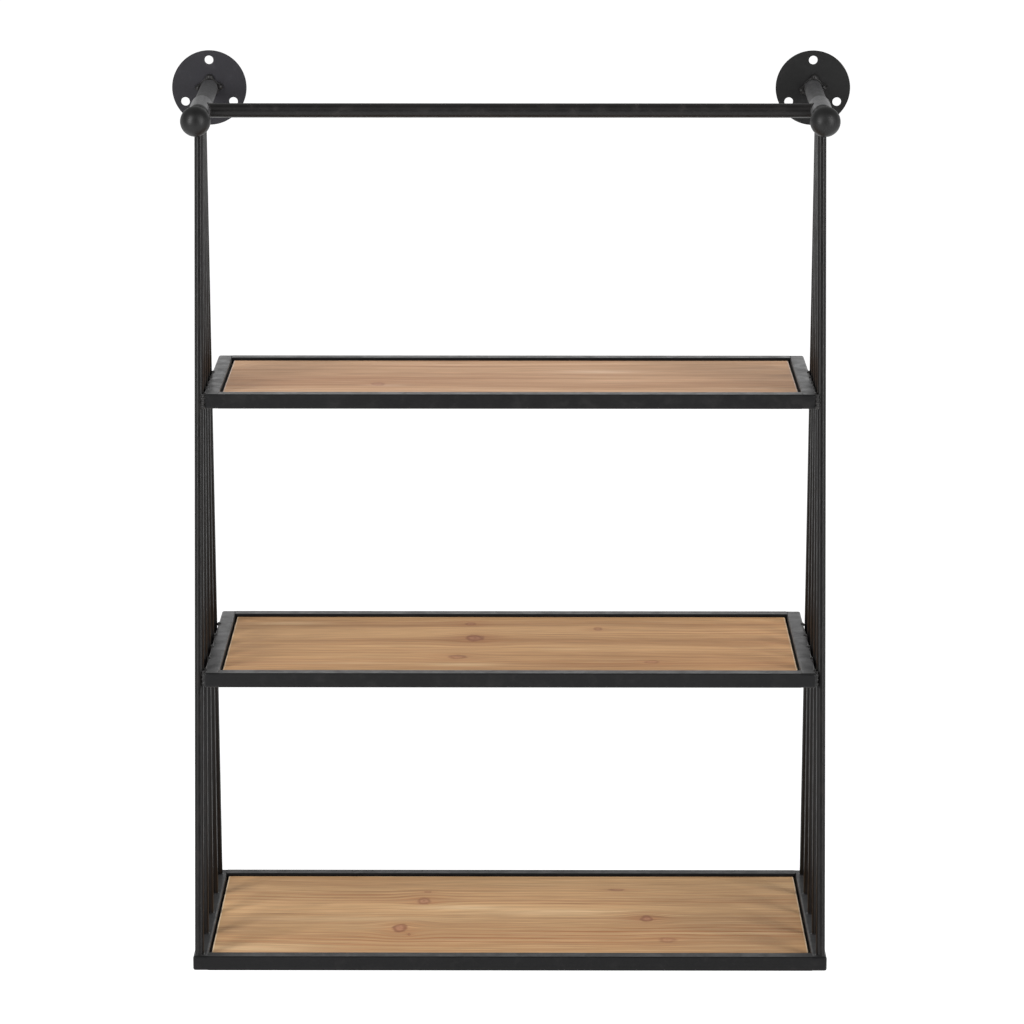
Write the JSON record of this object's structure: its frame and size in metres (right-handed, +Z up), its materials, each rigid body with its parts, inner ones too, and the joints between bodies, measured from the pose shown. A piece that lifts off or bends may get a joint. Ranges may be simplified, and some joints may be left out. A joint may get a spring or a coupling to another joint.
{
  "type": "wall shelf unit",
  "caption": "Wall-hung shelving unit: wooden boards in black square-tube frames, hung on fans of slanted steel rods from ball-ended wall posts joined by a cross bar.",
  "frame": {"origin": "on the wall plane, midway between the top screw holes of the two wall flanges", "axes": "+X to the right as seen from the room, +Y into the wall, +Z up"},
  "size_m": [0.6154, 0.271, 0.7893],
  "materials": {
    "black_steel": "satin black powder coat with a fine texture",
    "wood": "planed knotty softwood with a clear matt finish",
    "zinc": "zinc plated"
  },
  "bodies": {
    "wall_brackets": {"left_flange": "black_steel", "left_stub": "black_steel", "left_stub_weld": "black_steel", "right_flange": "black_steel", "right_stub": "black_steel", "right_stub_weld": "black_steel"},
    "frame": {"bottom_back_rail": "black_steel", "bottom_board": "wood", "bottom_board_ledges": "black_steel", "bottom_board_screws": "zinc", "bottom_front_rail": "black_steel", "bottom_left_rail": "black_steel", "bottom_rail_caps": "black_steel", "bottom_right_rail": "black_steel", "cross_rod": "black_steel", "left_ball": "black_steel", "left_cross_weld": "black_steel", "left_foot_welds": "black_steel", "left_rod_1": "black_steel", "left_rod_2": "black_steel", "left_rod_3": "black_steel", "left_rod_4": "black_steel", "left_rod_5": "black_steel", "left_sleeve": "black_steel", "middle_back_rail": "black_steel", "middle_board": "wood", "middle_board_ledges": "black_steel", "middle_board_screws": "zinc", "middle_front_rail": "black_steel", "middle_left_rail": "black_steel", "middle_left_rod_welds": "black_steel", "middle_rail_caps": "black_steel", "middle_right_rail": "black_steel", "middle_right_rod_welds": "black_steel", "right_ball": "black_steel", "right_cross_weld": "black_steel", "right_foot_welds": "black_steel", "right_rod_1": "black_steel", "right_rod_2": "black_steel", "right_rod_3": "black_steel", "right_rod_4": "black_steel", "right_rod_5": "black_steel", "right_sleeve": "black_steel", "top_back_rail": "black_steel", "top_board": "wood", "top_board_ledges": "black_steel", "top_board_screws": "zinc", "top_front_rail": "black_steel", "top_left_rail": "black_steel", "top_left_rod_welds": "black_steel", "top_rail_caps": "black_steel", "top_right_rail": "black_steel", "top_right_rod_welds": "black_steel"}
  },
  "joints": [
    {"name": "frame_slide", "type": "slide", "parent": "wall_brackets", "child": "frame", "axis": [0, -0.9987, -0.0506], "range_m": [0, 0.05]}
  ]
}
